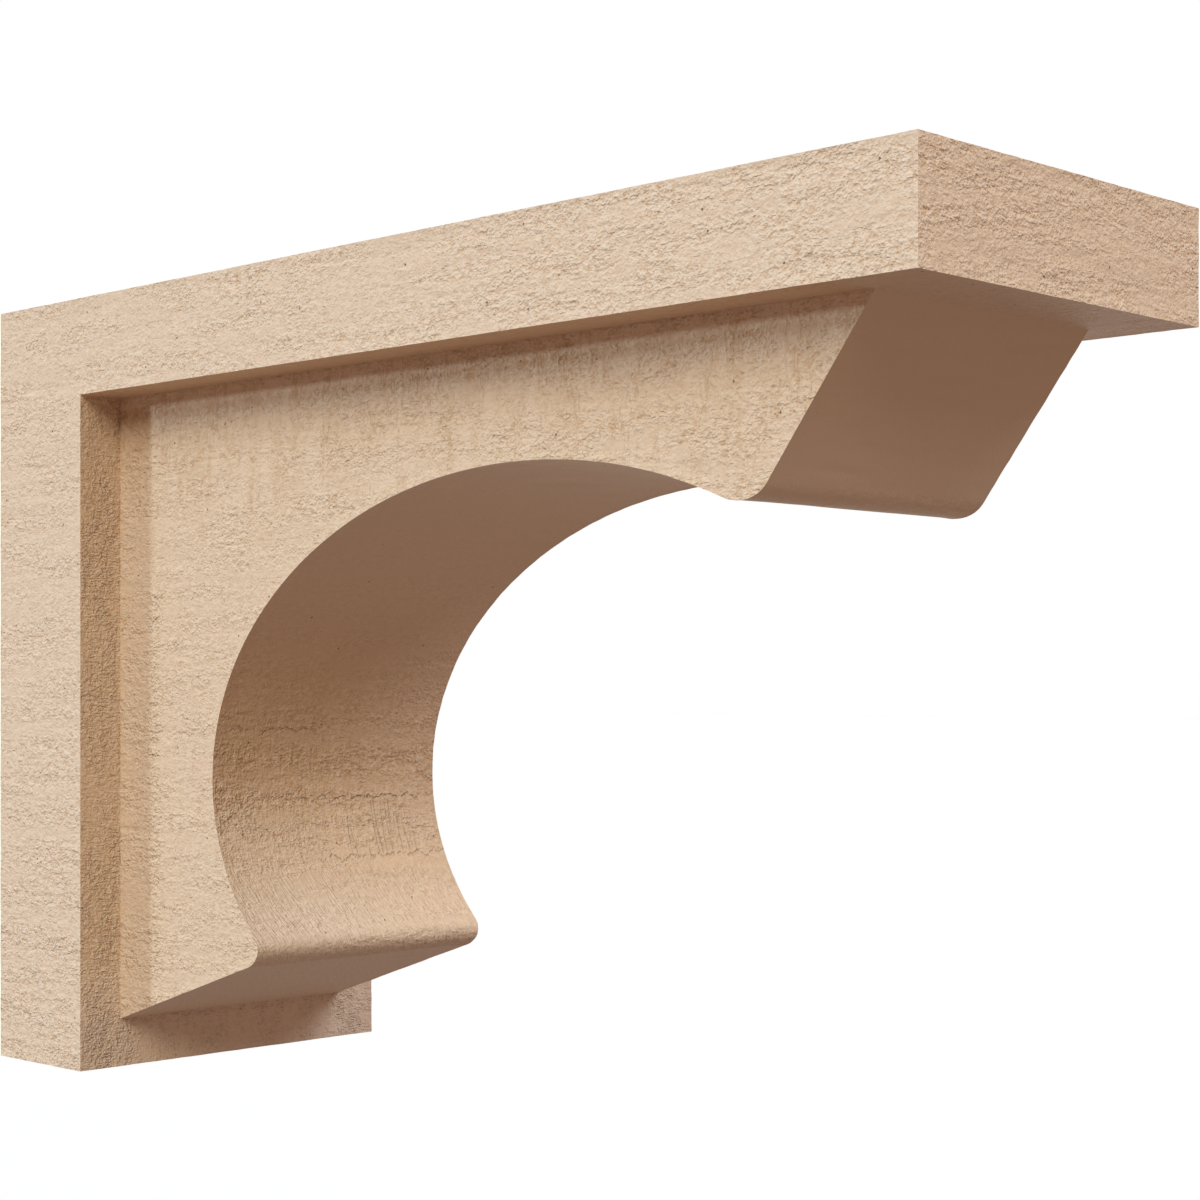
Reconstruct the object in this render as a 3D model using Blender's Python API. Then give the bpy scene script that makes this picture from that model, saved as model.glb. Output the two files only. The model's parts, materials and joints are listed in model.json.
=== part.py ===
# A corbel moulded as one piece. A flat top plate carries the load and a flat back plate stands
# against the wall. A narrower bracket fills the corner between them, and an arch hollows it.
# Metres, +Z up. X runs along the wall, the wall is the plane Y = 0, and the corbel reaches
# out from it along -Y. The origin is at the centre of the back face.

import math

import bmesh
import bpy

# Overall sizes
width = 0.1524
depth = 0.4572  # out from the wall
height = 0.3048

# Plates
top_plate_thickness = 0.0381
back_plate_thickness = 0.05715
side_recess = 0.01905  # from each side of the plates in to the side of the bracket

# Arch, part of an ellipse
crown_web = 0.040  # between the underside of the top plate and the crown of the arch
back_web = 0.060  # between the back plate and the arch
front_margin = 0.0092  # the whole ellipse would end this far behind the front end
foot_margin = 0.0061  # and this far above the foot

# Slanted ends of the bracket, and the rounded tips that they make with the arch
front_slant = math.radians(36.87)  # from upright, going back towards the wall
foot_slant = math.radians(18.43)  # from level, rising away from the wall
tip_radius = 0.008  # measured upright, and longer outwards in the proportion of the arch

# Faces that stand for the round surfaces
arch_steps = 96
tip_steps = 12
sharp_angle = math.radians(30)

# Finish
tan_colour = (0.66, 0.48, 0.33, 1.0)
tan_roughness = 0.85

# Sizes that follow from the ones above. Points are pairs: out from the wall, down from the top.
arch_reach = (depth - front_margin - back_plate_thickness - back_web) / 2
arch_rise = (height - foot_margin - top_plate_thickness - crown_web) / 2
arch_out = back_plate_thickness + back_web + arch_reach
arch_down = top_plate_thickness + crown_web + arch_rise
bracket_width = width - 2 * side_recess


def clear_scene():
    for item in list(bpy.data.objects):
        bpy.data.objects.remove(item, do_unlink=True)


def arc(centre, radius, start, end, steps):
    """Points on a circle from one angle to another, both ends included."""
    points = []
    for step in range(steps + 1):
        angle = start + (end - start) * step / steps
        points.append((centre[0] + radius * math.cos(angle), centre[1] + radius * math.sin(angle)))
    return points


def plates_profile():
    """The two plates as one L."""
    return [
        (0, 0),
        (depth, 0),
        (depth, top_plate_thickness),
        (back_plate_thickness, top_plate_thickness),
        (back_plate_thickness, height),
        (0, height),
    ]


def rounded_tip(start, heading, outward, centre):
    """The tip between a slanted face and the arch, where lengths outwards are drawn in by so
    much that the arch is a circle about centre. The tip's own circle touches both: its middle
    lies tip_radius behind the face, and arch_rise + tip_radius from centre. start is where the
    face leaves its plate, heading the way that it runs and outward the way that it looks.
    Returns the tip's points, from the face to the arch, and the tip's bearing from centre."""
    away = (
        start[0] - tip_radius * outward[0] - centre[0],
        start[1] - tip_radius * outward[1] - centre[1],
    )
    along = away[0] * heading[0] + away[1] * heading[1]
    short = away[0] ** 2 + away[1] ** 2 - (arch_rise + tip_radius) ** 2
    run = -along - math.sqrt(along**2 - short)
    middle = (away[0] + run * heading[0], away[1] + run * heading[1])
    bearing = math.atan2(middle[1], middle[0])
    first = math.atan2(outward[1], outward[0])
    turn = (bearing + math.pi - first + math.pi) % math.tau - math.pi
    middle = (middle[0] + centre[0], middle[1] + centre[1])
    return arc(middle, tip_radius, first, first + turn, tip_steps), bearing


def bracket_profile():
    """The bracket from the side. Its root runs half way into each plate, so that the two join.
    Each slanted face is in line with the far corner of the plate that it starts from."""
    draw_in = arch_rise / arch_reach
    front = depth - top_plate_thickness * math.tan(front_slant)
    foot = height - back_plate_thickness * math.tan(foot_slant)
    centre = (arch_out * draw_in, arch_down)

    def facing(out, down):
        out = out * draw_in
        size = math.hypot(out, down)
        return (out / size, down / size)

    down_front = facing(-math.sin(front_slant), math.cos(front_slant))
    up_foot = facing(math.cos(foot_slant), -math.sin(foot_slant))
    front_tip, front_bearing = rounded_tip(
        (front * draw_in, top_plate_thickness),
        down_front,
        (down_front[1], -down_front[0]),
        centre,
    )
    foot_tip, foot_bearing = rounded_tip(
        (back_plate_thickness * draw_in, foot),
        up_foot,
        (-up_foot[1], up_foot[0]),
        centre,
    )
    # The arch runs from the front tip over the crown and down behind to the foot tip.
    last = foot_bearing - math.tau if foot_bearing > front_bearing else foot_bearing
    arch = arc(centre, arch_rise, front_bearing, last, arch_steps)
    curved = front_tip + arch[1:-1] + foot_tip[::-1]
    root_out = back_plate_thickness / 2
    root_down = top_plate_thickness / 2
    return [
        (root_out, root_down),
        (front, root_down),
        (front, top_plate_thickness),
        *[(out / draw_in, down) for out, down in curved],
        (back_plate_thickness, foot),
        (root_out, foot),
    ]


def block(name, profile, across):
    """A solid with the given profile seen from the side, centred across its width."""
    mesh = bpy.data.meshes.new(name)
    shape = bmesh.new()
    corners = [shape.verts.new((-across / 2, -out, height / 2 - down)) for out, down in profile]
    side = shape.faces.new(corners)
    grown = bmesh.ops.extrude_face_region(shape, geom=[side])
    moved = [item for item in grown["geom"] if isinstance(item, bmesh.types.BMVert)]
    bmesh.ops.translate(shape, verts=moved, vec=(across, 0, 0))
    bmesh.ops.recalc_face_normals(shape, faces=shape.faces)
    shape.to_mesh(mesh)
    shape.free()
    item = bpy.data.objects.new(name, mesh)
    bpy.context.collection.objects.link(item)
    return item


def unite(body, addition):
    """Joins the second object to the first, and removes the second."""
    addition.hide_render = True
    addition.display_type = "WIRE"
    joint = body.modifiers.new("join", "BOOLEAN")
    joint.operation = "UNION"
    joint.solver = "EXACT"
    joint.object = addition
    bpy.context.view_layer.update()
    scene_state = bpy.context.evaluated_depsgraph_get()
    joined = bpy.data.meshes.new_from_object(body.evaluated_get(scene_state))
    body.modifiers.clear()
    body.data = joined
    bpy.data.objects.remove(addition, do_unlink=True)


def tan_finish():
    material = bpy.data.materials.new("tan_finish")
    material.use_nodes = True
    shader = material.node_tree.nodes["Principled BSDF"]
    shader.inputs["Base Color"].default_value = tan_colour
    shader.inputs["Roughness"].default_value = tan_roughness
    shader.inputs["Metallic"].default_value = 0.0
    material.diffuse_color = tan_colour
    return material


def make_corbel():
    corbel = block("corbel", plates_profile(), width)
    unite(corbel, block("bracket", bracket_profile(), bracket_width))
    mesh = corbel.data
    mesh.name = "corbel"
    mesh.materials.clear()
    mesh.materials.append(tan_finish())
    mesh.shade_smooth()
    mesh.set_sharp_from_angle(angle=sharp_angle)


clear_scene()
make_corbel()
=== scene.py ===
# The looks of the corbel: one moulding with a rough-sawn grain, on a pale floor in studio light.
import json
import math

import bpy
import numpy as np
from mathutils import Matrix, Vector

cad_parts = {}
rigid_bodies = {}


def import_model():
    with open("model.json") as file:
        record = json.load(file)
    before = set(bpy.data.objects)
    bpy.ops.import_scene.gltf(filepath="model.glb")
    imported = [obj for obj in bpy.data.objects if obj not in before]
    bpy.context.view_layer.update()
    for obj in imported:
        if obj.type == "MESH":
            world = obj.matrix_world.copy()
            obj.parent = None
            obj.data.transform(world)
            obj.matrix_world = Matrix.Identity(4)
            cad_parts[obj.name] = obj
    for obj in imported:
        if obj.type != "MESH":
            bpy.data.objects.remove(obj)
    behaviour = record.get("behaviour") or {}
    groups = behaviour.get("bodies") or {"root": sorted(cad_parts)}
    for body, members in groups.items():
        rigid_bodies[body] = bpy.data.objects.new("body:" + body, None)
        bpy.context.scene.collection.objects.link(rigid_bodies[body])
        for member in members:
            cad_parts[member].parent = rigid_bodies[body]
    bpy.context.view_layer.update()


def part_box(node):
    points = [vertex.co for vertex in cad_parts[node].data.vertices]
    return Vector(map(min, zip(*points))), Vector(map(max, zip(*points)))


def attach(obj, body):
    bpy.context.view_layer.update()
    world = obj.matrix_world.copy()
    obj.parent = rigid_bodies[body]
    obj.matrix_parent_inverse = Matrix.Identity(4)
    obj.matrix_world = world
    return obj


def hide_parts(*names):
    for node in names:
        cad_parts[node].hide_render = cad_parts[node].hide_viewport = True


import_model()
low, high = (np.array(corner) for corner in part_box("corbel"))
width, depth, height = high - low
print("frame loaded")

corbelShape = {
    "topPlate": 0.0381,  # thicknesses
    "backPlate": 0.05715,
    "sideRecess": 0.01905,  # from the side of a plate in to the side of the bracket
    "crownWeb": 0.040,  # over the arch
    "backWeb": 0.060,  # behind the arch
    "frontMargin": 0.0092,  # the whole ellipse ends this far behind the front end
    "footMargin": 0.0061,  # and this far above the foot
    "frontSlant": math.radians(36.87),  # from upright
    "footSlant": math.radians(18.43),  # from level
    "tipRadius": 0.008,  # measured upright
    "tipPoints": 400,  # points that trace a tip and the arch before they are spaced evenly
    "archPoints": 4000,
    "stepOut": 0.0031,  # grid cells, long with the grain and short across it
    "stepDown": 0.00125,
    "stepAcross": 0.0031,
    "webRows": 50,  # rows of cells from the plates to the arch
    "sharpTurn": math.radians(25),  # an edge is sharp where its two faces turn by more
    "arrisWidth": 0.0005,
    "arrisSegments": 2,
}

sawnRelief = {
    "broad": (0.00010, 0.090, 0.034),  # depth, length along the grain, width across it
    "ridge": (0.00014, 0.040, 0.0050),
    "rough": (0.00014, 0.010, 0.0031),
    "saw": (0.00007, 0.011, 0.060),
    "split": (0.00022, 0.030, 0.0034),
    "splitShare": 0.72,  # the noise above this share opens a split
    "arris": (0.00010, 0.0045),  # how far an arris wanders in, and over what length
    "fade": 0.004,  # the relief dies away this far from an arris
}

# The finish of each face. Rough is the strength of its texture, and cross that of the marks across
# the grain. Painted shade is how far its colour goes to the brown one where shade falls, and where it
# is negative it is painted light; pale is how far it goes to the pale one, which is painted light in
# the top plate's shadow on the bracket and at the foot. A ramp is two distances and how much it adds
# on the way from the first to the second.
faceFinish = {
    "top": {"cross": 0.3, "rough": 0.6, "paleAndPaintedLight": 0.7},
    "wallSide": {"cross": 0.3, "rough": 0.4},
    "foot": {"cross": 0.3, "rough": 0.6},
    "frontEnd": {"cross": 0.4, "rough": 0.58, "paleAndPaintedLight": 0.8},
    # the underside is browner all over: painted shade under the top plate
    "underside": {"cross": 0.4, "rough": 0.3, "paintedShade": 0.12},
    # sides of the plates, rougher towards the front and the foot
    "plateCross": 0.3,
    "plateRough": 0.5,
    "platePale": 0.7,
    "plateRoughOut": (0.25, 0.35, 0.07),
    "plateRoughDown": (0.17, 0.26, 0.2),
    "plateCrossDown": (0.19, 0.26, 1.2),
    # front of the back plate, with painted shade at the top and painted light at the foot, calm under
    # the bracket
    "backCross": 1.3,
    "backRough": 1.0,
    "backPacked": 1.5,  # its grain is this much shorter
    "backPaintedShadeTop": (0.14, 0.08, 0.12),
    "backPaintedLightFoot": (0.25, 0.285, -0.15),
    "backPaintedLightPale": (0.25, 0.285, 1),
    "underBracket": (0.004, -0.006),  # from the bracket's side out and in
    "underFoot": 0.004,  # from the foot of the bracket down
    "underCalm": 0.5,
    "underFlat": 0.85,
    # sides of the bracket, with a rough fringe beside the back plate's shadow, a rougher corner in the
    # top plate's shadow, painted light in that shadow's core and a brown line under it, a painted
    # shadow edge
    "bracketCross": 0.8,
    "bracketRough": 0.52,
    "fringe": (0.080, 0.003),  # middle and spread
    "fringeDown": (0.09, 0.13, 1),
    "fringeRough": 0.45,
    "cornerRough": 0.4,
    "cornerReach": 0.012,
    "shaded": (0.045, 0.041, 1),
    "shadedPaintedLightTint": -0.08,
    "shadedPaintedLightPale": 0.4,
    "line": (0.0455, 0.0025),  # middle and spread
    "shadowEdgeShade": 0.35,
    "sawDown": (0.06, 0.11, -0.85),  # fewer marks of the saw below
    # arch and slants: how rough the back of the arch is and its painted shade, by the distance down;
    # painted light at the foot
    "archCross": 1.5,
    "archRough": ((0.09, 0.10), (0.13, 0.2), (0.155, 0.36), (0.186, 0.8), (0.213, 0.75), (0.225, 0.42)),
    "archPaintedShade": ((0.12, 0), (0.15, 0.22), (0.187, 0.33), (0.21, 0.0)),
    "archPaintedLight": (0.222, 0.24, 1),
    "archBack": 0.165,  # the back of the arch ends this far out from its rearmost point
    "archFrontRough": 0.2,
    "slantRough": 0.05,
    "footPaintedLight": -0.15,
}

grainApart = (0.5, 0.4)  # each face has a patch of the grain to itself, this far from the next
archSide = grainApart[0]  # where the middle of the arch lies along its grain


# Even steps between each pair of marks, about one step long.
def stops(step, *marks):
    runs = [
        np.linspace(a, b, max(1, round((b - a) / step)) + 1)[:-1]
        for a, b in zip(marks, marks[1:])
    ]
    return np.concatenate([*runs, marks[-1:]])


# Smooth noise from 0 to 1: a scrambled value at each corner of a unit cell, blended by 3t^2 - 2t^3.
def cellNoise(u, v, seed):
    cellU = np.floor(u).astype(np.int64)
    cellV = np.floor(v).astype(np.int64)
    partU = u - cellU
    partV = v - cellV
    partU = partU * partU * (3 - 2 * partU)
    partV = partV * partV * (3 - 2 * partV)

    def corner(stepU, stepV):
        mixed = (cellU + stepU) * 374761393 + (cellV + stepV) * 668265263 + seed * 974634777
        mixed = ((mixed & 0xFFFFFFFF) ^ ((mixed & 0xFFFFFFFF) >> 13)) * 1274126177 & 0xFFFFFFFF
        return ((mixed ^ (mixed >> 16)) & 0xFFFF) / 65535

    lower = corner(0, 0) * (1 - partU) + corner(1, 0) * partU
    upper = corner(0, 1) * (1 - partU) + corner(1, 1) * partU
    return lower * (1 - partV) + upper * partV


# From 0 at the start to 1 at the end, as 3t^2 - 2t^3.
def smoothStep(start, end, value):
    share = np.clip((value - start) / (end - start), 0, 1)
    return share * share * (3 - 2 * share)


def ramp(value, start, end, gain):
    return gain * smoothStep(start, end, value)


# A bump of height 1: e to the power of minus the squared distance from the middle over the spread.
def bell(value, middle, spread):
    return np.exp(-((value - middle) / spread) ** 2)


# Distance from each spot to the nearest point of a closed outline: the least over its straight
# pieces of the distance to the spot's foot on that piece, held between the piece's ends.
def awayFrom(spots, outline):
    start = np.asarray(outline)
    span = np.roll(start, -1, 0) - start
    gap = spots[..., None, :] - start
    share = np.clip((gap * span).sum(-1) / (span * span).sum(-1), 0, 1)
    return np.linalg.norm(gap - share[..., None] * span, axis=-1).min(-1)


def rectangle(x0, x1, y0, y1):
    return [(x0, y0), (x1, y0), (x1, y1), (x0, y1)]


# Depth of the sawn surface under the CAD face, from layers of noise stretched along the grain,
# one layer stretched across it for the saw, and splits where a stretched noise is high.
def sawnDepth(along, across, seed, cross):
    def layer(name, number):
        depthOf, length, breadth = sawnRelief[name]
        return depthOf, cellNoise(along / length, across / breadth, seed * 10 + number)

    total = 0
    for number, name in enumerate(("broad", "ridge", "rough")):
        size, noise = layer(name, number)
        total = total + size * noise
    size, noise = layer("saw", 4)
    total = total + size * cross * noise
    size, noise = layer("split", 5)
    return total + size * smoothStep(sawnRelief["splitShare"], 1, noise)


# The tip's circle touches the slanted face from behind and the arch's circle from outside, so its
# middle lies one tip radius behind the face and the sum of the two radii from the arch's centre.
def tipArc(start, heading, outward, centre, rise, radius, count):
    away = start - radius * outward - centre
    along = away @ heading
    run = -along - math.sqrt(along**2 - away @ away + (rise + radius) ** 2)
    middle = away + run * heading
    bearing = math.atan2(middle[1], middle[0])
    first = math.atan2(outward[1], outward[0])
    turn = (bearing + math.tau - first) % math.tau - math.pi
    angle = first + turn * np.linspace(0, 1, count)
    ray = np.stack([np.cos(angle), np.sin(angle)], 1)
    return centre + middle + radius * ray, ray, bearing


# The free edge of the bracket from the front tip over the arch to the foot tip, as pairs: out from
# the wall, down from the top. Lengths outwards are drawn in so that the arch is a true circle.
# Returns evenly spaced points with their outward normals, and where the slanted faces start.
def bracketEdge(topCount, backCount):
    s = corbelShape
    reach = (depth - s["frontMargin"] - s["backPlate"] - s["backWeb"]) / 2
    rise = (height - s["footMargin"] - s["topPlate"] - s["crownWeb"]) / 2
    drawIn = np.array([rise / reach, 1])
    centre = np.array([s["backPlate"] + s["backWeb"] + reach, s["topPlate"] + s["crownWeb"] + rise])
    centre = centre * drawIn
    frontRoot = np.array([depth - s["topPlate"] * math.tan(s["frontSlant"]), s["topPlate"]])
    footRoot = np.array([s["backPlate"], height - s["backPlate"] * math.tan(s["footSlant"])])
    headings = (
        np.array([-math.sin(s["frontSlant"]), math.cos(s["frontSlant"])]),
        np.array([math.cos(s["footSlant"]), -math.sin(s["footSlant"])]),
    )
    tips = []
    for root, heading, side in zip((frontRoot, footRoot), headings, (1, -1)):
        heading = heading * drawIn
        heading = heading / np.linalg.norm(heading)
        outward = np.array([heading[1], -heading[0]]) * side
        tips.append(
            tipArc(root * drawIn, heading, outward, centre, rise, s["tipRadius"], s["tipPoints"])
        )
    (frontTip, frontRay, frontBearing), (footTip, footRay, footBearing) = tips
    angle = np.linspace(frontBearing, footBearing - math.tau, s["archPoints"])
    ray = np.stack([np.cos(angle), np.sin(angle)], 1)
    fine = np.concatenate([frontTip[:-1], centre + rise * ray, footTip[::-1][1:]]) / drawIn
    normal = np.concatenate([frontRay[:-1], -ray, footRay[::-1][1:]]) * drawIn
    length = np.concatenate([[0], np.cumsum(np.linalg.norm(np.diff(fine, axis=0), axis=1))])
    highBack = -0.75 * math.pi  # the bearing of the arch's point towards the corner of the L
    corner = len(frontTip) - 1 + np.argmin(abs(angle - highBack))
    place = np.concatenate(
        [
            np.linspace(0, length[corner], topCount + 1)[:-1],
            np.linspace(length[corner], length[-1], backCount + 1),
        ]
    )
    points = np.stack([np.interp(place, length, fine[:, k]) for k in (0, 1)], 1)
    normals = np.stack([np.interp(place, length, normal[:, k]) for k in (0, 1)], 1)
    return points, normals / np.linalg.norm(normals, axis=1)[:, None], frontRoot, footRoot


# Adds one face of the corbel as a grid: points, outward normals, grain coordinates, six values that
# steer its finish, the cells to keep and the depth under the CAD face. The relief, times its share,
# fades out towards an arris or an inner corner, which wanders a little itself. The first four grids
# are the two sides of the plates, two grids each, and those of one side share their seed.
def addFace(faces, x, out, down, normal, along, across, edge, cross, rough, keep=None,
            bracket=0, paintedShade=0, paleAndPaintedLight=0, archDown=0, relief=1):
    x, out, down, along, across = np.broadcast_arrays(x, out, down, along, across)
    points = np.stack([x, high[1] - out, high[2] - down], -1)
    normals = np.broadcast_to(np.asarray(normal, float), points.shape)
    if keep is None:
        keep = np.ones((points.shape[0] - 1, points.shape[1] - 1), bool)
    seed = len(faces) + 1
    seed = seed if seed > 4 else 1 + (seed - 1) // 2
    bury = relief * sawnDepth(along, across, seed, cross)
    wander, length = sawnRelief["arris"]
    arris = wander * cellNoise((points @ np.array([1.0, -1.0, 1.0])) / length, 0 * along, 99)
    share = smoothStep(0, sawnRelief["fade"], edge)
    bury = share * bury + (1 - share) * arris
    patch = (grainApart[0] * (seed % 4), grainApart[1] * (seed // 4))
    grain = np.stack([along + patch[0], across + patch[1]], -1)
    style = np.stack(np.broadcast_arrays(cross, rough, bracket, paintedShade, paleAndPaintedLight, archDown, x)[:6], -1)
    faces.append((points, normals, grain, style, keep, bury))


def makeFaces():
    s, f = corbelShape, faceFinish
    half = width / 2
    inner = half - s["sideRecess"]
    frontStart = depth - s["topPlate"] * math.tan(s["frontSlant"])
    footStart = height - s["backPlate"] * math.tan(s["footSlant"])
    outStops = stops(s["stepOut"], 0, s["backPlate"], frontStart, depth)
    downStops = stops(s["stepDown"], 0, s["topPlate"], footStart, height)
    acrossStops = stops(s["stepAcross"], -half, -inner, inner, half)
    backOut = outStops[outStops <= s["backPlate"] + 1e-9]
    topOut = outStops[outStops >= s["backPlate"] - 1e-9]
    topDown = downStops[downStops <= s["topPlate"] + 1e-9]
    lowDown = downStops[downStops >= s["topPlate"] - 1e-9]
    faces = []

    # sides of the two plates, which are one flat L
    outline = [
        (0, 0),
        (depth, 0),
        (depth, s["topPlate"]),
        (s["backPlate"], s["topPlate"]),
        (s["backPlate"], height),
        (0, height),
    ]
    for side in (-1, 1):
        for outs, downs in ((outStops, topDown), (backOut, lowDown)):
            out, down = np.meshgrid(outs, downs, indexing="ij")
            edge = awayFrom(np.stack([out, down], -1), outline)
            rough = f["plateRough"] + ramp(out, *f["plateRoughOut"]) + ramp(down, *f["plateRoughDown"])
            cross = f["plateCross"] + ramp(down, *f["plateCrossDown"])
            addFace(faces, side * half, out, down, (side, 0, 0), out, down, edge, cross, rough,
                    paleAndPaintedLight=f["platePale"])

    # top, back, foot and front end
    plane = rectangle(-half, half, 0, depth)
    x, out = np.meshgrid(acrossStops, outStops, indexing="ij")
    edge = awayFrom(np.stack([x, out], -1), plane)
    addFace(faces, x, out, 0, (0, 0, 1), out, x, edge, **f["top"])
    plane = rectangle(-half, half, 0, height)
    x, down = np.meshgrid(acrossStops, downStops, indexing="ij")
    edge = awayFrom(np.stack([x, down], -1), plane)
    addFace(faces, x, 0, down, (0, 1, 0), x, down, edge, **f["wallSide"])
    plane = rectangle(-half, half, 0, s["backPlate"])
    x, out = np.meshgrid(acrossStops, backOut, indexing="ij")
    edge = awayFrom(np.stack([x, out], -1), plane)
    addFace(faces, x, out, height, (0, 0, -1), x, out, edge, **f["foot"])
    plane = rectangle(-half, half, 0, s["topPlate"])
    x, down = np.meshgrid(acrossStops, topDown, indexing="ij")
    edge = awayFrom(np.stack([x, down], -1), plane)
    addFace(faces, x, depth, down, (0, -1, 0), x, down, edge, **f["frontEnd"])

    # underside of the top plate and front of the back plate, round the root of the bracket
    x, out = np.meshgrid(acrossStops, topOut, indexing="ij")
    spots = np.stack([x, out], -1)
    edge = np.minimum(
        awayFrom(spots, rectangle(-half, half, s["backPlate"], depth)),
        awayFrom(spots, rectangle(-inner, inner, s["backPlate"], frontStart)),
    )
    middle = (spots[1:, 1:] + spots[:-1, :-1]) / 2
    keep = (abs(middle[..., 0]) > inner) | (middle[..., 1] > frontStart)
    addFace(faces, x, out, s["topPlate"], (0, 0, -1), out, x, edge, keep=keep, **f["underside"])
    x, down = np.meshgrid(acrossStops, lowDown, indexing="ij")
    spots = np.stack([x, down], -1)
    edge = np.minimum(
        awayFrom(spots, rectangle(-half, half, s["topPlate"], height)),
        awayFrom(spots, rectangle(-inner, inner, s["topPlate"], footStart)),
    )
    middle = (spots[1:, 1:] + spots[:-1, :-1]) / 2
    keep = (abs(middle[..., 0]) > inner) | (middle[..., 1] > footStart)
    outSide, inSide = f["underBracket"]
    under = smoothStep(inner + outSide, inner + inSide, abs(x))
    under = under * smoothStep(footStart, footStart + f["underFoot"], down)
    # browner at the top, painted shade under the top plate, and paler at the foot, painted light
    paintedShade = ramp(down, *f["backPaintedShadeTop"]) + ramp(down, *f["backPaintedLightFoot"])
    addFace(faces, x, s["backPlate"], down, (0, -1, 0), f["backPacked"] * down, x, edge,
            f["backCross"], f["backRough"] - f["underCalm"] * under, keep, paintedShade=paintedShade,
            paleAndPaintedLight=ramp(down, *f["backPaintedLightPale"]), relief=1 - f["underFlat"] * under)

    # sides of the bracket: straight rays from the root, along the plates, to the free edge
    rootOut = topOut[topOut <= frontStart + 1e-9][::-1]
    rootDown = lowDown[lowDown <= footStart + 1e-9]
    root = np.concatenate(
        [
            np.stack([rootOut, np.full_like(rootOut, s["topPlate"])], 1),
            np.stack([np.full_like(rootDown, s["backPlate"]), rootDown], 1)[1:],
        ]
    )
    free, freeNormal, frontRoot, footRoot = bracketEdge(len(rootOut) - 1, len(rootDown) - 1)
    share = np.linspace(0, 1, s["webRows"] + 1)[None, :, None]
    web = root[:, None] * (1 - share) + free[:, None] * share
    corners = [frontRoot, *free[::4], free[-1], footRoot, (s["backPlate"], s["topPlate"])]
    edge = awayFrom(web, corners)
    for side in (-1, 1):
        out, down = web[..., 0], web[..., 1]
        fringe = bell(out, *f["fringe"]) * ramp(down, *f["fringeDown"])
        corner = np.exp((s["topPlate"] - down) / f["cornerReach"])
        rough = f["bracketRough"] + f["fringeRough"] * fringe + f["cornerRough"] * corner
        # in the top plate's shadow the colour is paler, painted light, and just below it a brown line
        # is a painted shadow edge
        shaded = ramp(down, *f["shaded"])
        paintedShade = f["shadowEdgeShade"] * bell(down, *f["line"]) + f["shadedPaintedLightTint"] * shaded
        addFace(faces, side * inner, out, down, (side, 0, 0), out, down, edge, f["bracketCross"],
                rough, bracket=1 + ramp(down, *f["sawDown"]), paintedShade=paintedShade,
                paleAndPaintedLight=f["shadedPaintedLightPale"] * shaded)

    # slanted faces, tips and arch, as one strip right round the free edge
    slantNormals = []
    for slant, up in ((s["frontSlant"], 0), (s["footSlant"], 1)):
        flat = (math.cos(slant), math.sin(slant)) if not up else (math.sin(slant), math.cos(slant))
        slantNormals.append(np.broadcast_to(flat, (s["webRows"], 2)))
    strip = np.concatenate([web[0, :-1], free, web[-1, ::-1][1:]])
    normal = np.concatenate([slantNormals[0], freeNormal, slantNormals[1]])
    run = np.concatenate([[0], np.cumsum(np.linalg.norm(np.diff(strip, axis=0), axis=1))])
    innerX = acrossStops[abs(acrossStops) <= inner + 1e-9]
    along, x = np.meshgrid(run, innerX, indexing="ij")
    edge = awayFrom(np.stack([along, x], -1), rectangle(0, run[-1], -inner, inner))
    normals = np.stack([0 * x, np.broadcast_to(-normal[:, :1], x.shape), 0 * x], -1)
    normals[..., 2] = -normal[:, 1:]
    slants = (along < run[len(slantNormals[0])]) | (along > run[-1 - len(slantNormals[1])])
    archDown = strip[:, 1:]
    back = strip[:, :1] < s["backPlate"] + s["backWeb"] + f["archBack"]
    rough = np.where(back, np.interp(archDown, *zip(*f["archRough"])), f["archFrontRough"])
    rough = np.where(slants, f["slantRough"], rough)
    # the back of the arch is browner by the distance down, painted shade, and paler at the foot and on
    # the foot slant, painted light
    archPaintedShade = np.interp(archDown, *zip(*f["archPaintedShade"])) * back
    paintedShade = np.where(slants, np.where(back, f["footPaintedLight"], 0), archPaintedShade)
    paleAndPaintedLight = np.where(back, ramp(archDown, *f["archPaintedLight"]), 0)
    addFace(faces, x, strip[:, :1], archDown, normals, x, along, edge, f["archCross"], rough,
            paintedShade=paintedShade, paleAndPaintedLight=paleAndPaintedLight, archDown=archDown)
    return faces


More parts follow.
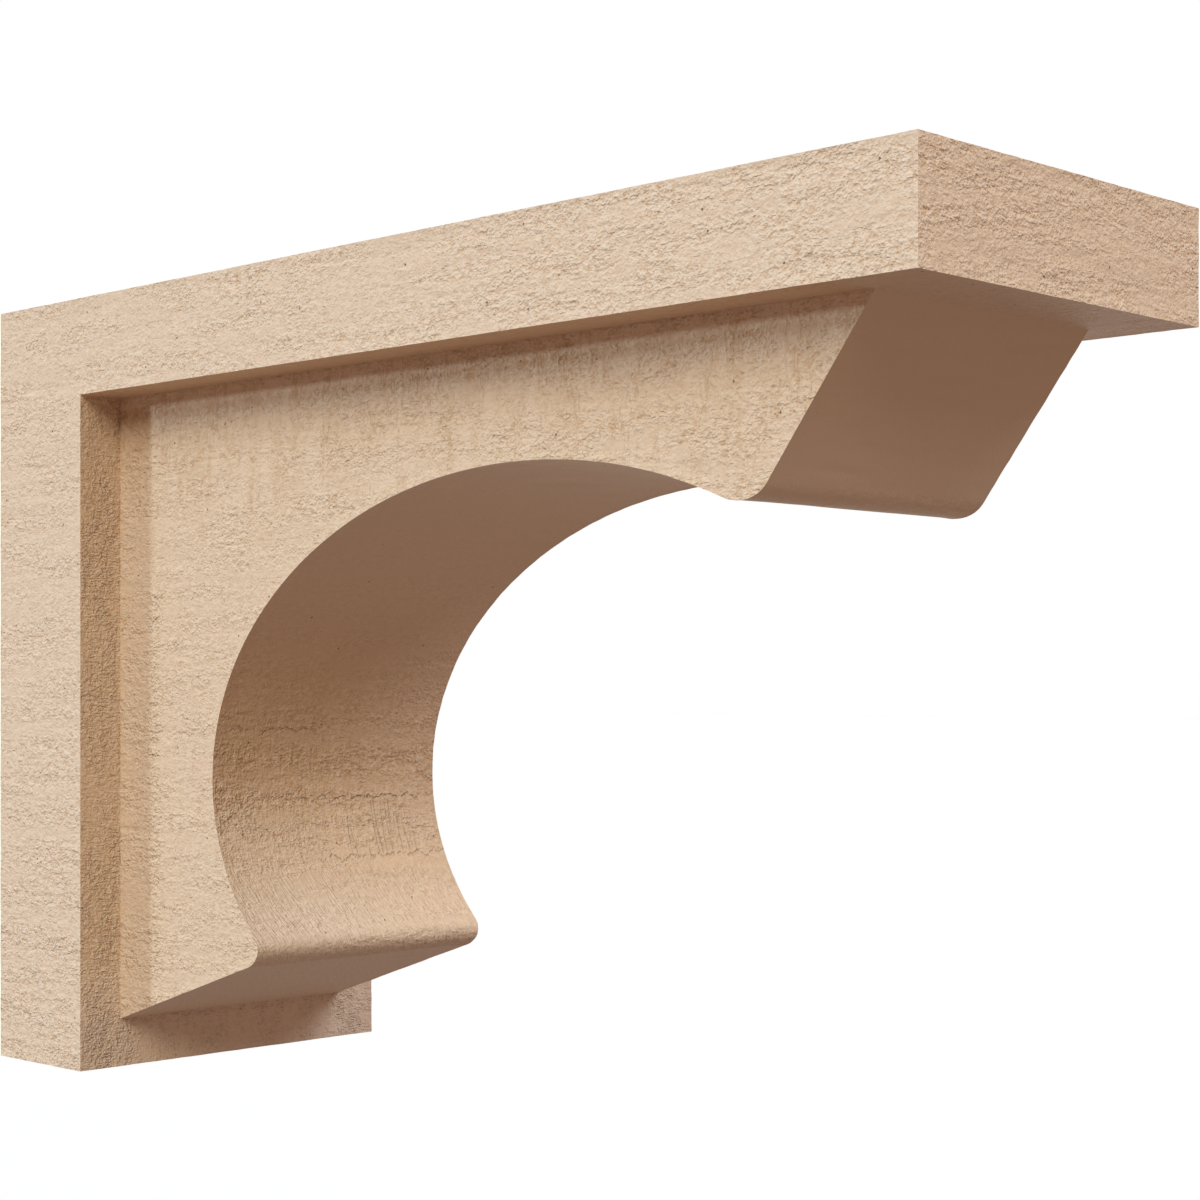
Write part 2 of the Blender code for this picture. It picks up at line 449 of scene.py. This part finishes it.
# One closed mesh from all the grids. Points that meet are one vertex. A vertex sinks by its depth
# below every face it is on: the move d solves d . n = depth for all its normals n, by least squares.
def makeCorbelBody():
    faces = makeFaces()
    points = np.concatenate([f[0].reshape(-1, 3) for f in faces])
    normals = np.concatenate([f[1].reshape(-1, 3) for f in faces])
    bury = np.concatenate([f[5].ravel() for f in faces])
    cells, corners = [], []
    offset = 0
    for facePoints, faceNormals, _, _, keep, _ in faces:
        rows, columns = facePoints.shape[:2]
        number = np.arange(rows * columns).reshape(rows, columns)
        a, b, c, d = number[:-1, :-1], number[1:, :-1], number[1:, 1:], number[:-1, 1:]
        quad = np.stack([a, b, c, d], -1)[keep]
        flatPoints = facePoints.reshape(-1, 3)
        cross = np.cross(flatPoints[quad[:, 2]] - flatPoints[quad[:, 0]],
                         flatPoints[quad[:, 3]] - flatPoints[quad[:, 1]])
        facing = (cross * faceNormals.reshape(-1, 3)[quad[:, 0]]).sum(1)
        if facing.mean() < 0:
            quad = quad[:, ::-1]
        cells.append(quad + offset)
        offset += rows * columns
    cells = np.concatenate(cells)
    _, first, joined = np.unique(
        np.round(points * 1e7).astype(np.int64), axis=0, return_index=True, return_inverse=True
    )
    joined = joined.ravel()
    spread = np.zeros((len(first), 3, 3))
    total = np.zeros((len(first), 3))
    used = np.unique(cells)
    np.add.at(spread, joined[used], normals[used, :, None] * normals[used, None, :])
    np.add.at(total, joined[used], normals[used])
    wanted = np.unique(joined[cells])
    place = points[first]
    move = np.einsum("nij,nj->ni", np.linalg.pinv(spread[wanted], rcond=1e-6), total[wanted])
    finished = place[wanted] - bury[first][wanted, None] * move
    renumber = np.full(len(first), -1)
    renumber[wanted] = np.arange(len(wanted))
    quads = renumber[joined[cells]]

    mesh = bpy.data.meshes.new("corbelBody")
    mesh.from_pydata(finished, [], quads)
    grain = np.concatenate([f[2].reshape(-1, 2) for f in faces])[cells].reshape(-1, 2)
    uv = mesh.uv_layers.new(name="sawnGrain")
    uv.data.foreach_set("uv", grain.astype(np.float32).ravel())
    style = np.concatenate([f[3].reshape(-1, 6) for f in faces])[cells].reshape(-1, 6)
    for name, start in (("sawnStyle", 0), ("sawnPlace", 3)):
        layer = mesh.attributes.new(name, "FLOAT_COLOR", "CORNER")
        colour = np.concatenate([style[:, start:start + 3], np.ones((len(style), 1))], 1)
        layer.data.foreach_set("color", colour.astype(np.float32).ravel())
    markArrises(mesh)
    body = bpy.data.objects.new("corbelBody", mesh)
    bpy.context.collection.objects.link(body)
    print("corbel body:", len(finished), "vertices,", len(quads) * 2, "triangles")
    return body


# An edge is sharp where its two faces turn far enough, and an arris, which gets rounded, where the
# second face also lies behind the first.
def markArrises(mesh):
    count = len(mesh.loops)
    edgeOf = np.empty(count, np.int32)
    mesh.loops.foreach_get("edge_index", edgeOf)
    order = np.argsort(edgeOf, kind="stable")
    uses = np.bincount(edgeOf, minlength=len(mesh.edges))
    assert (uses == 2).all(), "the corbel's surface is not closed"
    faceOf = np.repeat(np.arange(len(mesh.polygons)), 4)[order].reshape(-1, 2)
    normal = np.empty(len(mesh.polygons) * 3, np.float32)
    centre = np.empty(len(mesh.polygons) * 3, np.float32)
    mesh.polygons.foreach_get("normal", normal)
    mesh.polygons.foreach_get("center", centre)
    normal, centre = normal.reshape(-1, 3), centre.reshape(-1, 3)
    first, second = faceOf.T
    turn = (normal[first] * normal[second]).sum(1)
    behind = ((centre[second] - centre[first]) * normal[first]).sum(1) < 0
    sharp = turn < math.cos(corbelShape["sharpTurn"])
    mesh.shade_smooth()
    hard = mesh.attributes.new("sharp_edge", "BOOLEAN", "EDGE")
    hard.data.foreach_set("value", sharp & ~behind)
    weight = mesh.attributes.new("bevel_weight_edge", "FLOAT", "EDGE")
    weight.data.foreach_set("value", (sharp & behind).astype(np.float32))
    print("arrises:", int((sharp & behind).sum()), "inner corners:", int((sharp & ~behind).sum()))


def roundArrises(body):
    ease = body.modifiers.new("easedArrises", "BEVEL")
    ease.limit_method = "WEIGHT"
    ease.width = corbelShape["arrisWidth"]
    ease.segments = corbelShape["arrisSegments"]
    ease.harden_normals = True
    ease.use_clamp_overlap = True


sawnLook = {
    "colour": (0.74, 0.58, 0.44, 1),
    # the pale colour is painted light in the top plate's shadow on the bracket and at the foot; the
    # brown one is painted shade low in the grain and on faces given it, and the colour of saw marks and
    # the bracket's stains; the dark one is painted shade down in a cut or a pinhole, and the colour of
    # seams and scratches
    "paleAndLitColour": (0.765, 0.62, 0.50, 1),
    "stainAndShadeBrown": (0.53, 0.32, 0.165, 1),  # low in the grain
    "dark": (0.26, 0.15, 0.09, 1),  # down in a cut or a pinhole
    "roughness": 0.85,
    "specular": 0.25,
    # length along the grain and width across it in metres, then height in millimetres
    "swell": (0.011, 0.0030, 0.80),
    "fibre": (0.006, 0.0014, 0.18),
    "weave": (0.0014, 0.006, 0.35),  # across the grain
    "lump": (0.0029, 0.0022, 0.62),
    "wrinkle": (0.0015, 0.0012, 0.66),
    "grit": (0.00095, 0.00085, 0.46),
    "cut": (0.0022, 0.0009, 0.30),
    "cutAreas": (0.010, 0.005),
    "cutMost": 0.7,  # of the roughness
    "patches": (0.014, 0.007),
    "bands": (0.070, 0.009),
    "saw": (0.005, 0.020, 0.12),
    "sawHalf": 0.05,
    "sawAreas": (0.012, 0.050),
    "stainsAndPaintedShade": (0.009, 0.040),
    "pinholeSpacing": 0.040,
    "pinholeRadius": 0.00035,
    "pinholeEdge": (0.7, 1.3),  # in radii
    "pinholeRough": (0.05, 0.2),  # a calmer face has none
    "pinholeDepth": 0.5,
    # the shares of its noise between which each comes in
    "cutRise": (0.27, 0.40),
    "cutAreaRise": (0.50, 0.64),
    "patchRise": (0.50, 0.75),
    "bandRise": (0.35, 0.62),
    "sawAreaRise": (0.46, 0.60),
    "sawGrainRise": (0.35, 0.55),
    "seamRise": (0.40, 0.55),
    # the strength by band and by calm patch, as gain and start
    "bandGain": (0.6, 0.6),
    "calmGain": (-0.4, 1.0),
    # how far the colour goes to the brown one: low in the grain, which is painted shade, with its most
    # strength, in a mark of the saw, by the bracket's stains, and by a face's own painted shade,
    # painted light where negative, as gain and start
    "lowGain": (-2.0, 0.15),
    "lowMost": 0.6,
    "sawTint": 0.45,
    "bracketTint": 0.6,
    "paintedShadeGain": (0.8, 0.6),
    # how far each mark goes to the dark colour; in a cut and a pinhole this is painted shade
    "cutDark": 0.12,
    "sawDark": 0.02,
    "seamDark": 0.16,
    "scratchDark": 0.08,
    "pinholeDark": 0.9,
    # behind the arch, by the distance down from the top: broken seams straight across, with
    # where each starts and ends from side to side, scratches hanging between two of them, and
    # fine slanting streaks below
    "seams": ((0.1700, -0.050, 0.000), (0.1978, -0.020, 0.060), (0.2210, -0.010, 0.060)),
    "seamDepth": 0.45,
    "seamHalf": 0.0009,
    "seamEnd": 0.006,  # how softly a seam ends
    "seamBreaks": (0.0022, 0.0022),
    "seamWander": (0.005, 1, 0.006),  # over what length, and how far
    "scratch": (0.0040, 0.080, 0.30),
    "scratchHalf": 0.018,
    "scratchEnd": 0.002,
    "scratchDepth": 0.35,
    "scratchDown": (0.1985, 0.2205),
    "scratchAcross": (0.008, 0.044),
    "streak": (0.0009, 0.0055, 0.65),
    "streakLean": math.radians(-18),
    "streakDown": (0.218, 0.230),
}


# The sawn finish, all in the plane of the grain: swells, fibres, wrinkles and grit, short cuts
# where a warped noise dips low, thin lines left by the saw, seams and scratches in the arch, and
# a few pinholes. Heights are in millimetres. Its colour has painted shade in the grain's hollows,
# in cuts and pinholes and where a face is given it, and painted light where a face is given that.
def makeSawnFinish():
    look = sawnLook
    material = bpy.data.materials.new("sawnTanFinish")
    material.use_nodes = True
    nodes, links = material.node_tree.nodes, material.node_tree.links
    shader = nodes["Principled BSDF"]
    grain = nodes.new("ShaderNodeUVMap")
    grain.uv_map = "sawnGrain"
    steer = []
    for name in ("sawnStyle", "sawnPlace"):
        style = nodes.new("ShaderNodeAttribute")
        style.attribute_name = name
        parts = nodes.new("ShaderNodeSeparateColor")
        links.new(style.outputs["Color"], parts.inputs["Color"])
        steer += parts.outputs[:3]
    cross, rough, bracket, paintedShade, paleAndPaintedLight, archDown = steer

    def feed(socket, value):
        if isinstance(value, bpy.types.NodeSocket):
            links.new(value, socket)
        else:
            socket.default_value = value

    def calc(operation, *values):
        node = nodes.new("ShaderNodeMath")
        node.operation = operation
        for socket, value in zip(node.inputs, values):
            feed(socket, value)
        return node.outputs["Value"]

    # the grain in cells of the given length and breadth, with a shift that sets each noise apart
    def stretch(length, breadth, shift=0, lean=0):
        node = nodes.new("ShaderNodeMapping")
        node.vector_type = "TEXTURE"
        links.new(grain.outputs["UV"], node.inputs["Vector"])
        node.inputs["Location"].default_value = (shift * length, shift * 0.7 * breadth, 0)
        node.inputs["Rotation"].default_value = (0, 0, lean)
        node.inputs["Scale"].default_value = (length, breadth, 1)
        return node.outputs["Vector"]

    def noise(length, breadth, shift=0, detail=0.0, warp=0.0, lean=0):
        node = nodes.new("ShaderNodeTexNoise")
        node.noise_dimensions = "2D"
        links.new(stretch(length, breadth, shift, lean), node.inputs["Vector"])
        node.inputs["Scale"].default_value = 1
        node.inputs["Detail"].default_value = detail
        node.inputs["Distortion"].default_value = warp
        return node.outputs["Fac"]

    def rise(value, start, end):
        node = nodes.new("ShaderNodeMapRange")
        node.interpolation_type = "SMOOTHSTEP"
        links.new(value, node.inputs["Value"])
        node.inputs["From Min"].default_value = start
        node.inputs["From Max"].default_value = end
        return node.outputs["Result"]

    def flip(value):
        return calc("SUBTRACT", 1.0, value)

    def times(*values):
        total = values[0]
        for value in values[1:]:
            total = calc("MULTIPLY", total, value)
        return total

    def within(value, start, end, soft):
        return times(rise(value, start - soft, start + soft), flip(rise(value, end - soft, end + soft)))

    def fromMiddle(value, height):
        return calc("MULTIPLY", calc("SUBTRACT", value, 0.5), height)

    def layer(name, *options):
        return fromMiddle(noise(*look[name][:2], *options), look[name][2])

    # the grain itself
    calm = rise(noise(*look["patches"], 11), *look["patchRise"])
    band = rise(noise(*look["bands"], 13, 1), *look["bandRise"])
    strength = times(
        rough,
        calc("MULTIPLY_ADD", band, *look["bandGain"]),
        calc("MULTIPLY_ADD", calm, *look["calmGain"]),
    )
    wrinkle = noise(*look["wrinkle"][:2], 7, 1, 0.4)
    grains = fromMiddle(wrinkle, look["wrinkle"][2])
    for part in (layer("grit", 37, 0, 0.4), layer("lump", 43, 0, 0.4)):
        grains = calc("ADD", grains, part)
    fine = grains
    weave = times(layer("weave", 41, 1, 0.3), cross)
    for part in (weave, layer("fibre", 5, 1, 0.4), layer("swell", 3, 1, 0.4)):
        fine = calc("ADD", fine, part)
    height = times(fine, strength)

    # marks: how much of each there is from 0 to 1, how deep it is and how far it darkens
    cut = flip(rise(noise(*look["cut"][:2], 17, 1, 0.4), *look["cutRise"]))
    cutArea = rise(noise(*look["cutAreas"], 19, 1), *look["cutAreaRise"])
    cut = times(cut, cutArea, calc("MINIMUM", rough, look["cutMost"]))
    sawLine = calc("ABSOLUTE", fromMiddle(noise(*look["saw"][:2], 23, 2), 1.0))
    sawArea = rise(noise(*look["sawAreas"], 29, 1), *look["sawAreaRise"])
    sawGrain = rise(wrinkle, *look["sawGrainRise"])
    saw = times(flip(rise(sawLine, 0, look["sawHalf"])), sawArea, bracket, sawGrain)
    # the grain's hollows go browner: painted shade
    grainShade = times(grains, calc("MINIMUM", strength, look["lowMost"]))
    low = calc("MULTIPLY_ADD", grainShade, *look["lowGain"])
    low = calc("MULTIPLY_ADD", saw, look["sawTint"], low)
    tint = fromMiddle(noise(*look["stainsAndPaintedShade"], 79, 2), look["bracketTint"])
    low = calc("ADD", low, times(tint, bracket))
    # a face's own painted shade, broken up by a noise; where it is negative it paints light
    shadeBreakup = calc("MULTIPLY_ADD", noise(*look["stainsAndPaintedShade"], 83, 3), *look["paintedShadeGain"])
    low = calc("MULTIPLY_ADD", paintedShade, shadeBreakup, low)
    spots = nodes.new("ShaderNodeTexVoronoi")
    spots.voronoi_dimensions = "2D"
    links.new(stretch(look["pinholeSpacing"], look["pinholeSpacing"], 31), spots.inputs["Vector"])
    spots.inputs["Scale"].default_value = 1
    size = look["pinholeRadius"] / look["pinholeSpacing"]
    rim = [size * share for share in look["pinholeEdge"]]
    pinhole = times(flip(rise(spots.outputs["Distance"], *rim)), rise(rough, *look["pinholeRough"]))

    # marks of the arch alone
    place = nodes.new("ShaderNodeSeparateXYZ")
    links.new(stretch(1, 1), place.inputs["Vector"])
    acrossArch = calc("SUBTRACT", place.outputs["X"], archSide)
    sway = fromMiddle(noise(*look["seamWander"][:2], 61, 3), 1.0)
    wander = calc("MULTIPLY_ADD", sway, look["seamWander"][2], archDown)
    seam = 0.0
    for down, start, end in look["seams"]:
        line = flip(rise(calc("ABSOLUTE", calc("SUBTRACT", wander, down)), 0, look["seamHalf"]))
        seam = calc("ADD", seam, times(line, within(acrossArch, start, end, look["seamEnd"])))
    seam = times(seam, rise(noise(*look["seamBreaks"], 67, 1), *look["seamRise"]))
    scratchLine = calc("ABSOLUTE", layer("scratch", 71))
    scratch = times(
        flip(rise(scratchLine, 0, look["scratchHalf"])),
        within(archDown, *look["scratchDown"], look["scratchEnd"]),
        within(acrossArch, *look["scratchAcross"], look["scratchEnd"]),
    )
    streak = times(layer("streak", 73, 1, 0.2, look["streakLean"]), rise(archDown, *look["streakDown"]))

    height = calc("ADD", height, streak)
    # cuts and pinholes go to the dark colour: painted shade
    shade = times(pinhole, look["pinholeDark"])
    for mark, deep, darken in (
        (cut, look["cut"][2], look["cutDark"]),
        (saw, look["saw"][2], look["sawDark"]),
        (seam, look["seamDepth"], look["seamDark"]),
        (scratch, look["scratchDepth"], look["scratchDark"]),
        (pinhole, look["pinholeDepth"], 0),
    ):
        height = calc("MULTIPLY_ADD", mark, -deep, height)
        shade = calc("MULTIPLY_ADD", mark, darken, shade)

    bump = nodes.new("ShaderNodeBump")
    bump.inputs["Distance"].default_value = 0.001  # a height of 1 is a millimetre
    links.new(height, bump.inputs["Height"])
    links.new(bump.outputs["Normal"], shader.inputs["Normal"])

    def blend(share, first, second):
        node = nodes.new("ShaderNodeMix")
        node.data_type = "RGBA"
        links.new(share, node.inputs["Factor"])
        feed(node.inputs["A"], first)
        feed(node.inputs["B"], second)
        return node.outputs["Result"]

    # paler where a face is given it, which is painted light on the bracket's shaded top and at the foot
    colour = blend(paleAndPaintedLight, look["colour"], look["paleAndLitColour"])
    colour = blend(shade, blend(low, colour, look["stainAndShadeBrown"]), look["dark"])
    links.new(colour, shader.inputs["Base Color"])
    shader.inputs["Roughness"].default_value = look["roughness"]
    shader.inputs["Specular IOR Level"].default_value = look["specular"]
    print("sawn finish made")
    return material


cameraLook = {
    "sensor": 36,  # in millimetres, as is the lens
    "lens": 70.79,
    "shift": (0.0626, 0.0707),
    "standOff": 2,  # heights of the corbel from its middle, to the left and to the front
    "nearest": 0.05,
}


def makeCamera():
    camera = bpy.data.objects.new("camera", bpy.data.cameras.new("camera"))
    bpy.context.collection.objects.link(camera)
    camera.data.sensor_width = cameraLook["sensor"]
    camera.data.lens = cameraLook["lens"]
    camera.data.shift_x, camera.data.shift_y = cameraLook["shift"]
    centre = Vector((low + high) / 2)
    away = cameraLook["standOff"] * height
    camera.location = centre + Vector((-away, -away, 0))
    camera.rotation_euler = (centre - camera.location).to_track_quat("-Z", "Y").to_euler()
    camera.data.clip_start = cameraLook["nearest"]
    bpy.context.scene.camera = camera


studioLook = {
    "suns": {  # degrees round from +X towards +Y, degrees up, softness in degrees, red, green, blue
        "sideKey": (210, 35.7, 30, (1.67, 1.58, 1.23)),
        "frontFill": (295, 40.5, 30, (1.27, 1.32, 1.37)),
        "overSide": (190, 58.2, 30, (0.62, 0.85, 1.05)),
        "behindLeft": (125, 31.1, 30, (0.20, 0.38, 0.63)),
        "behindLow": (133.5, 10.0, 5, (0.85, 1.04, 1.13)),
        "farSide": (27.7, 1.0, 30, (1.49, 1.59, 1.61)),
        "farBelow": (15.3, -24.6, 30, (0.03, 0.13, 0.20)),
    },
    "room": (0.308, 0.214, 0.166),  # light from all around
    "floorDrop": 1.0,  # below the middle of the corbel
    "floorHalf": 60.0,
    "floorColour": (0.86, 0.86, 0.86, 1),
    "floorRoughness": 1.0,
    "backdrop": (1, 1, 1, 1),
}


# Distant soft lights, an even light from all around that the camera sees as white, and a pale
# floor that lies clear of the light on the corbel.
def makeStudio():
    for name, (turn, lift, soft, colour) in studioLook["suns"].items():
        lamp = bpy.data.lights.new(name, "SUN")
        lamp.energy = max(colour)
        lamp.color = [part / max(colour) for part in colour]
        lamp.angle = math.radians(soft)
        sun = bpy.data.objects.new(name, lamp)
        turn, lift = math.radians(turn), math.radians(lift)
        towards = Vector(
            (math.cos(lift) * math.cos(turn), math.cos(lift) * math.sin(turn), math.sin(lift))
        )
        sun.rotation_euler = towards.to_track_quat("Z", "Y").to_euler()
        bpy.context.collection.objects.link(sun)
    world = bpy.data.worlds.new("studio")
    bpy.context.scene.world = world
    world.use_nodes = True
    nodes, links = world.node_tree.nodes, world.node_tree.links
    room = nodes["Background"]
    room.inputs["Color"].default_value = (*studioLook["room"], 1)
    backdrop = nodes.new("ShaderNodeBackground")
    backdrop.inputs["Color"].default_value = studioLook["backdrop"]
    ray = nodes.new("ShaderNodeLightPath")
    pick = nodes.new("ShaderNodeMixShader")
    links.new(ray.outputs["Is Camera Ray"], pick.inputs["Fac"])
    links.new(room.outputs["Background"], pick.inputs[1])
    links.new(backdrop.outputs["Background"], pick.inputs[2])
    links.new(pick.outputs["Shader"], nodes["World Output"].inputs["Surface"])

    half = studioLook["floorHalf"]
    mesh = bpy.data.meshes.new("floor")
    mesh.from_pydata([(-half, -half, 0), (half, -half, 0), (half, half, 0), (-half, half, 0)], [],
                     [(0, 1, 2, 3)])
    floor = bpy.data.objects.new("floor", mesh)
    floor.location.z = -studioLook["floorDrop"]
    bpy.context.collection.objects.link(floor)
    paint = bpy.data.materials.new("paleFloor")
    paint.use_nodes = True
    shader = paint.node_tree.nodes["Principled BSDF"]
    shader.inputs["Base Color"].default_value = studioLook["floorColour"]
    shader.inputs["Roughness"].default_value = studioLook["floorRoughness"]
    mesh.materials.append(paint)
    floor.visible_diffuse = floor.visible_glossy = floor.visible_shadow = False
    bpy.context.scene.view_settings.view_transform = "Standard"
    print("studio made")


corbelBody = makeCorbelBody()
roundArrises(corbelBody)
corbelBody.data.materials.append(makeSawnFinish())
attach(corbelBody, "root")
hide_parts("corbel")
makeStudio()
makeCamera()
